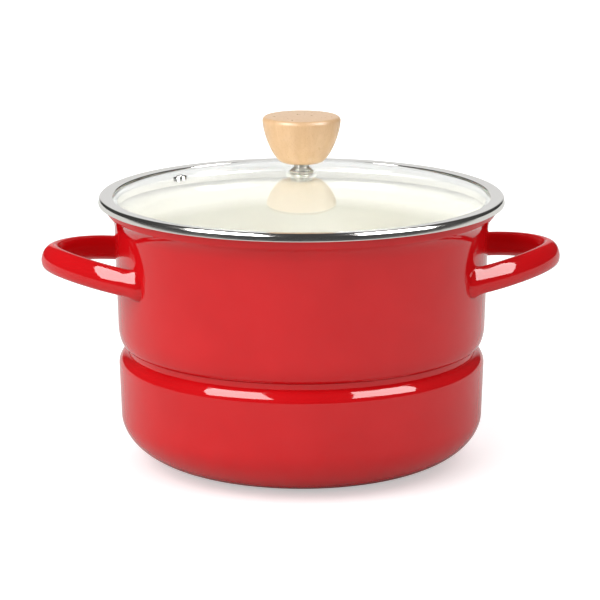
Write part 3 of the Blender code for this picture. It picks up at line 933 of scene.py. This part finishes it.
@dataclass
class Knob:
    """The turned knob and the stack that clamps it to the glass."""

    top_radius: float = 24.0 * MM
    foot_radius: float = 12.0 * MM
    height: float = 28.3 * MM
    edge_round: float = 2.5 * MM
    side_power: float = 1.5
    side_steps: int = 40
    steps: int = 128
    insert_radius: float = 4.2 * MM
    bore_gap: float = 0.3 * MM
    bore_depth: float = 15.5 * MM
    collar_height: float = 5.1 * MM
    collar_radii: Triple = (6.4 * MM, 4.5 * MM, 7.2 * MM)
    collar_rim: float = 0.8 * MM
    collar_steps: int = 12
    screw_hole: float = 2.8 * MM
    seal_radius: float = 7.4 * MM
    seal_bevel: float = 0.25 * MM
    washer_radius: float = 8.5 * MM
    washer_bevel: float = 0.2 * MM
    screw_radius: float = 2.5 * MM
    head: Pair = (5.5 * MM, 2.8 * MM)
    slot: Pair = (1.2 * MM, 1.2 * MM)

    def build(self) -> None:
        """Turn the knob and its fixing."""
        self.build_knob()
        self.build_collar()
        self.build_seals()
        self.build_screw()

    def build_knob(self) -> None:
        """Turn the beech: a flat top, a softened edge, a bowl-shaped side and a blind bore."""
        low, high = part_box("knob")
        foot = low.z
        side_height = self.height - self.edge_round
        side = []
        for step in range(self.side_steps + 1):
            down = 1.0 - step / self.side_steps
            swell = (1.0 - down**self.side_power) ** (1 / self.side_power)
            radius = self.foot_radius + (self.top_radius - self.foot_radius) * swell
            side.append((radius, foot + side_height * (1.0 - down)))
        centre = (self.top_radius - self.edge_round, foot + side_height)
        edge = arc(centre, self.edge_round, self.edge_round, 0, 90)
        bore = self.insert_radius + self.bore_gap
        bore_top = foot + self.bore_depth
        profile = [(0.0, bore_top), (bore, bore_top), (bore, foot)] + side + edge[1:] + [(0.0, high.z)]
        knob = turn("knob_turned", profile, self.steps, closed=False)
        paint(knob, BEECH)
        seat(knob, Body.LID, Slot.BEECH, "knob")
        paint(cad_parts["knob_insert"], BRASS)

    def build_collar(self) -> None:
        """Turn the waisted steel spacer between the glass and the wood."""
        low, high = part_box("knob_collar")
        foot, waist, top = self.collar_radii
        profile = [(self.screw_hole, low.z), (foot, low.z), (foot, low.z + self.collar_rim)]
        for step in range(1, self.collar_steps):
            share = step / self.collar_steps
            bow = math.sin(math.pi * share)
            straight = foot + (top - foot) * share
            narrow = straight - (straight - waist) * bow
            span = self.collar_height - 2 * self.collar_rim
            profile.append((narrow, low.z + self.collar_rim + span * share))
        profile += [(top, high.z - self.collar_rim), (top, high.z), (self.screw_hole, high.z)]
        collar = turn("knob_collar_turned", profile, SMALL_STEPS)
        paint(collar, SATIN_STEEL)
        seat(collar, Body.LID, Slot.POLISHED, "knob_collar")

    def build_seals(self) -> None:
        """Mould the washer over the glass, and paint the imported sleeved grommet under it silicone."""
        low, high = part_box("knob_seal_top")
        section = self.ring(self.screw_hole, self.seal_radius, low.z, high.z, self.seal_bevel)
        top = turn("knob_seal_upper", section, SMALL_STEPS)
        paint(top, SILICONE)
        seat(top, Body.LID, Slot.SILICONE, "knob_seal_top")
        paint(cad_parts["knob_seal_bottom"], SILICONE)

    def build_screw(self) -> None:
        """Turn the washer and the slotted screw."""
        low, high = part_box("knob_washer")
        section = self.ring(self.screw_hole, self.washer_radius, low.z, high.z, self.washer_bevel)
        washer = turn("knob_washer_flat", section, SMALL_STEPS)
        paint(washer, POLISHED_STEEL)
        seat(washer, Body.LID, Slot.POLISHED, "knob_washer")
        low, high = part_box("knob_screw")
        head_radius, head_height = self.head
        profile = arc((0.0, low.z + head_height), head_radius, head_height, -90, 0, steps=16)
        profile[0] = (0.0, low.z)
        profile += [(self.screw_radius, low.z + head_height), (self.screw_radius, high.z), (0.0, high.z)]
        screw = turn("knob_screw_slotted", profile, SMALL_STEPS, closed=False)
        width, depth = self.slot
        bpy.ops.object.select_all(action="DESELECT")
        bpy.ops.mesh.primitive_cube_add(size=1.0, location=(0.0, 0.0, low.z))
        mill = bpy.context.object
        mill.scale = (3 * head_radius, width, 2 * depth)
        bpy.context.view_layer.update()
        carve(screw, mill)
        paint(screw, POLISHED_STEEL)
        seat(screw, Body.LID, Slot.POLISHED, "knob_screw")

    @staticmethod
    def ring(inner: float, outer: float, bottom: float, top: float, bevel: float) -> list[Point]:
        """Section of a flat ring with rounded outer corners."""
        path = [(inner, bottom)]
        path += arc((outer - bevel, bottom + bevel), bevel, bevel, -90, 0, steps=4)
        path += arc((outer - bevel, top - bevel), bevel, bevel, 0, 90, steps=4)
        path.append((inner, top))
        return path


@dataclass(frozen=True)
class Softbox:
    """A rectangular studio lamp. It makes the highlights, and the room's soft light does the rest."""

    name: str
    place: Triple
    along: Triple
    up: Triple
    size: Pair
    radiance: float

    def hang(self) -> None:
        """Hang the lamp, with its width along one given direction and its height towards the other."""
        lamp = bpy.data.lights.new(self.name, "AREA")
        lamp.shape = "RECTANGLE"
        lamp.size, lamp.size_y = self.size
        lamp.energy = math.pi * lamp.size * lamp.size_y * self.radiance
        hung = bpy.data.objects.new(self.name, lamp)
        bpy.context.scene.collection.objects.link(hung)
        hung.location = self.place
        width = Vector(self.along).normalized()
        back = width.cross(Vector(self.up)).normalized()
        hung.rotation_euler = Matrix((width, back.cross(width), back)).transposed().to_euler()
        hung.visible_diffuse = False


@dataclass(frozen=True)
class RoomFill:
    """Soft light from a whole side of the room, too even to be seen in a glossy surface."""

    name: str
    toward: Triple
    level: float
    spread: float = math.radians(90)

    def hang(self) -> None:
        """Hang the light. A white surface square to it gets the radiance that its level gives."""
        lamp = bpy.data.lights.new(self.name, "SUN")
        lamp.energy = math.pi * self.level
        lamp.angle = self.spread
        hung = bpy.data.objects.new(self.name, lamp)
        bpy.context.scene.collection.objects.link(hung)
        hung.rotation_euler = Vector(self.toward).to_track_quat("Z", "Y").to_euler()
        hung.visible_glossy = False


SOFTBOXES = (
    Softbox(
        "softbox_left",
        place=(-0.632, -0.349, 1.329),
        along=(0.299, -0.864, 0.404),
        up=(-0.126, 0.384, 0.915),
        size=(0.81, 1.95),
        radiance=10.5,
    ),
    Softbox(
        "softbox_right",
        place=(0.677, -0.249, 1.329),
        along=(0.164, 0.899, -0.404),
        up=(0.066, 0.398, 0.915),
        size=(0.81, 1.95),
        radiance=10.0,
    ),
)
ROOM_FILLS = (
    RoomFill("room_left", toward=(-0.80, -0.48, 0.36), level=1.12),
    RoomFill("room_right", toward=(0.80, -0.45, 0.40), level=0.50),
    RoomFill("room_above", toward=(0.0, 0.0, 1.0), level=0.35),
    RoomFill("room_behind", toward=(0.0, 0.90, 0.45), level=0.45),
)


@dataclass
class Studio:
    """A pale floor, a white backdrop, two softboxes, soft room light and the camera."""

    camera_place: Triple = (-0.0833, -1.8278, 0.5198)
    camera_turn: Triple = (math.radians(77.064), 0.0, math.radians(-2.58))
    lens: float = 181.6
    floor_radius: float = 6.0
    floor_colour: str = "#C8C8C6"
    floor_seen: float = 0.75
    floor_lift: float = 0.45
    floor_steps: int = 96
    backdrop_toward: Triple = (0.045, 0.999, 0.0)
    backdrop_reach: Pair = (math.radians(16), math.radians(24))
    backdrop_top: Pair = (math.radians(25), math.radians(30))
    backdrop_light: float = 0.75
    room_light: float = 0.05

    def build(self) -> None:
        """Build all of it."""
        self.lay_floor()
        self.light_world()
        for light in SOFTBOXES + ROOM_FILLS:
            light.hang()
        self.place_camera()

    def lay_floor(self) -> None:
        """Lay a round floor. The camera sees it white, and its shadow stays."""
        bpy.ops.object.select_all(action="DESELECT")
        bpy.ops.mesh.primitive_circle_add(vertices=self.floor_steps, radius=self.floor_radius, fill_type="NGON")
        floor = bpy.context.object
        floor.name = "studio_floor"
        material = bpy.data.materials.new("studio_floor_pale")
        material.use_nodes = True
        tree = material.node_tree
        tree.nodes.clear()
        rays = add(tree, "LightPath").outputs
        views = {0: rays["Is Camera Ray"], 1: rays["Is Transmission Ray"]}
        seen = add(tree, "Math", views, operation="MAXIMUM")
        plain = add(tree, "BsdfDiffuse", {"Color": linear(self.floor_colour)})
        pale = add(tree, "BsdfDiffuse", {"Color": (self.floor_seen,) * 3 + (1.0,)})
        lift = add(tree, "Emission", {"Color": WHITE, "Strength": self.floor_lift})
        white = add(tree, "AddShader", {0: pale.outputs["BSDF"], 1: lift.outputs["Emission"]})
        both = {0: seen.outputs["Value"], 1: plain.outputs["BSDF"], 2: white.outputs["Shader"]}
        add(tree, "OutputMaterial", {"Surface": add(tree, "MixShader", both).outputs["Shader"]})
        floor.data.materials.append(material)

    def light_world(self) -> None:
        """Light the room: a white backdrop behind the pot, and dark above, beside and in front of it."""
        world = bpy.data.worlds.new("studio_room")
        bpy.context.scene.world = world
        world.use_nodes = True
        tree = world.node_tree
        tree.nodes.clear()
        way = add(tree, "TexCoord").outputs["Generated"]
        toward = add(tree, "SeparateXYZ", {"Vector": way}).outputs
        low, high = self.backdrop_top
        fade = {"Value": toward["Z"], "From Min": math.sin(low), "From Max": math.sin(high)}
        below_top = add(tree, "MapRange", fade | {"To Min": 1.0, "To Max": 0.0})
        level_way = add(tree, "CombineXYZ", {"X": toward["X"], "Y": toward["Y"]})
        unit_way = add(tree, "VectorMath", {0: level_way.outputs["Vector"]}, operation="NORMALIZE")
        ways = {0: unit_way.outputs["Vector"], 1: self.backdrop_toward}
        facing = add(tree, "VectorMath", ways, operation="DOT_PRODUCT").outputs["Value"]
        full, none = self.backdrop_reach
        sides = {"Value": facing, "From Min": math.cos(none), "From Max": math.cos(full)}
        shares = {0: below_top.outputs["Result"], 1: add(tree, "MapRange", sides).outputs["Result"]}
        backdrop = add(tree, "Math", shares, operation="MULTIPLY").outputs["Value"]
        lights = {"Value": backdrop, "To Min": self.room_light, "To Max": self.backdrop_light}
        level = add(tree, "MapRange", lights).outputs["Result"]
        camera_ray = add(tree, "LightPath").outputs["Is Camera Ray"]
        strength = add(tree, "Math", {0: level, 1: camera_ray}, operation="MAXIMUM")
        glow = add(tree, "Background", {"Color": WHITE, "Strength": strength.outputs["Value"]})
        add(tree, "OutputWorld", {"Surface": glow.outputs["Background"]})

    def place_camera(self) -> None:
        """Place the camera as the photograph has it and set the plain view transform."""
        lens = bpy.data.cameras.new("camera")
        lens.lens = self.lens
        camera = bpy.data.objects.new("camera", lens)
        bpy.context.scene.collection.objects.link(camera)
        camera.location = self.camera_place
        camera.rotation_euler = self.camera_turn
        bpy.context.scene.camera = camera
        bpy.context.scene.view_settings.view_transform = "Standard"


def main() -> None:
    """Build the pot, its tray, its lid and the studio."""
    logging.basicConfig(level=logging.INFO, format="%(name)s %(message)s")
    PotBody().build()
    for side in Side:
        LoopHandle(side).build()
    SteamerTray().build()
    Lid().build()
    Knob().build()
    Studio().build()


if __name__ == "__main__":
    main()
